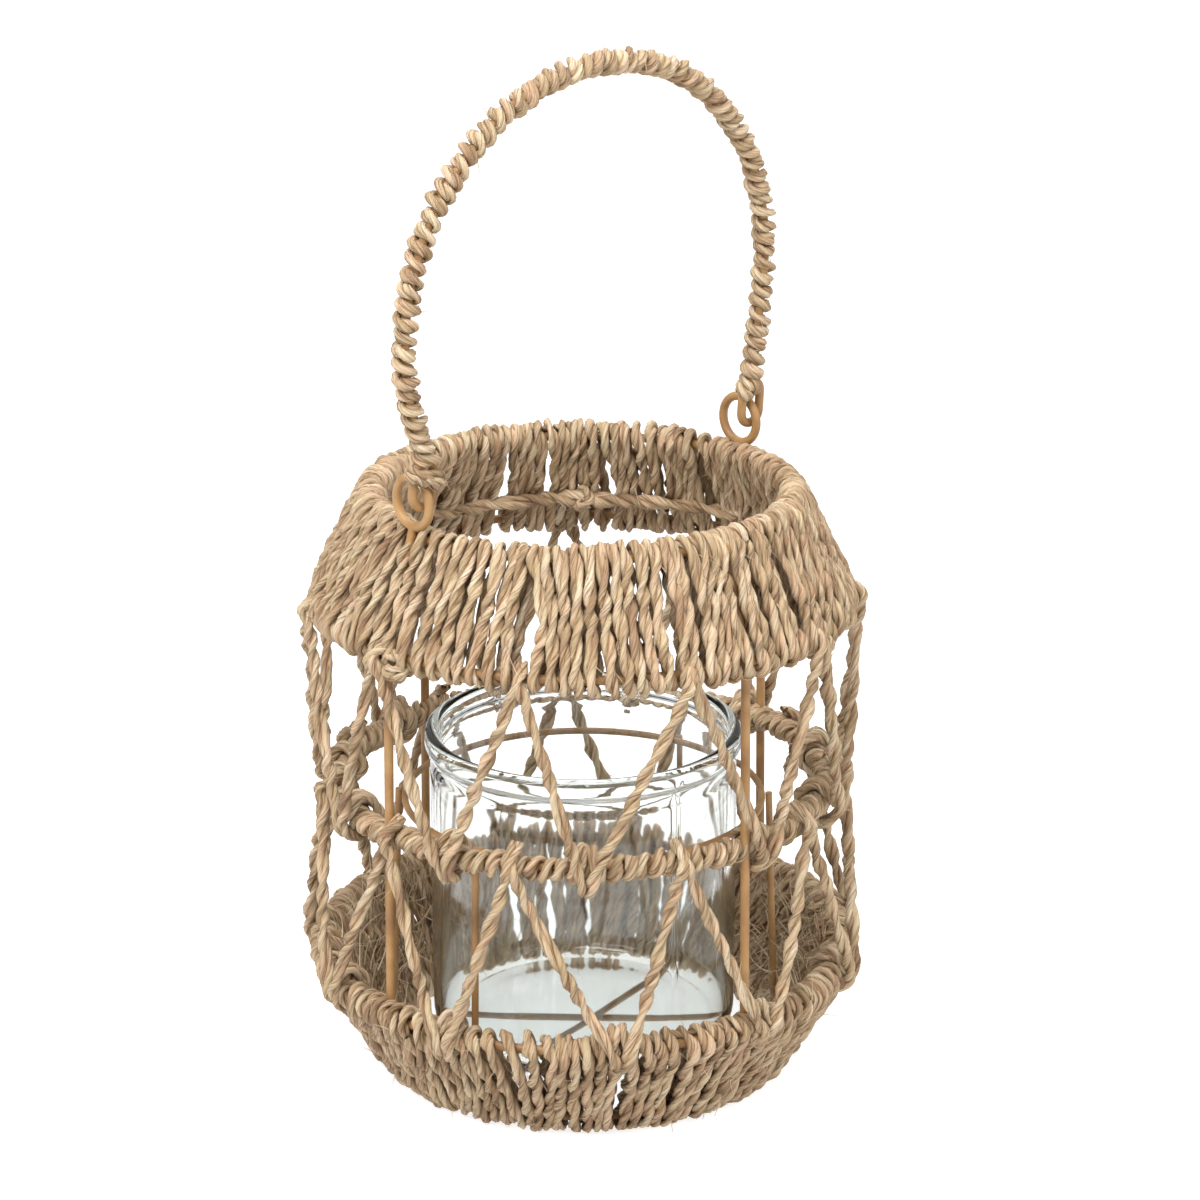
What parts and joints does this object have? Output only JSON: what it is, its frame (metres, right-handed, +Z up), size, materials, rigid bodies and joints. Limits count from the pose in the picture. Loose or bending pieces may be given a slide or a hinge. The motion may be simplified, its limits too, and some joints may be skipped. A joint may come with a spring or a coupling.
{
  "type": "hanging jar lantern",
  "caption": "Barrel-shaped wire lantern bound with twisted plant-fibre twine, with a swinging twine-wrapped bail and a plain clear glass jar that lifts out.",
  "frame": {"origin": "centre of the footprint, on the floor plane the base ring's covering stands on", "axes": "+Z up; X along the bail's hinge line, with the two eyes at -X and +X; -Y is the side the resting bail leans towards"},
  "size_m": [0.2114, 0.2114, 0.3909],
  "materials": {
    "wire": "satin powder coat",
    "twine": "dry twisted plant fibre, matte",
    "glass": "clear, polished"
  },
  "bodies": {
    "frame": {"top_ring": "wire", "shoulder_ring": "wire", "mid_ring": "wire", "lower_ring": "wire", "base_ring": "wire", "jar_ring": "wire", "post_left": "wire", "post_right": "wire", "post_front": "wire", "post_rear": "wire", "cradle_wire_low": "wire", "cradle_wire_high": "wire", "shoulder_wrap": "twine", "bowl_wrap": "twine", "mid_wrap": "twine", "upper_zigzag": "twine", "lower_zigzag": "twine", "tie_cord": "twine", "shoulder_knots": "twine"},
    "bail": {"bail_wire": "wire", "bail_wrap": "twine"},
    "jar": {"glass_jar": "glass"}
  },
  "joints": [
    {"name": "bail_swing", "type": "hinge", "parent": "frame", "child": "bail", "pos_m": [0, 0, 0.2366], "axis": [1, 0, 0], "range_deg": [-94, 66]},
    {"name": "jar_lift", "type": "slide", "parent": "frame", "child": "jar", "axis": [0, 0, 1], "range_m": [0, 0.2]}
  ]
}
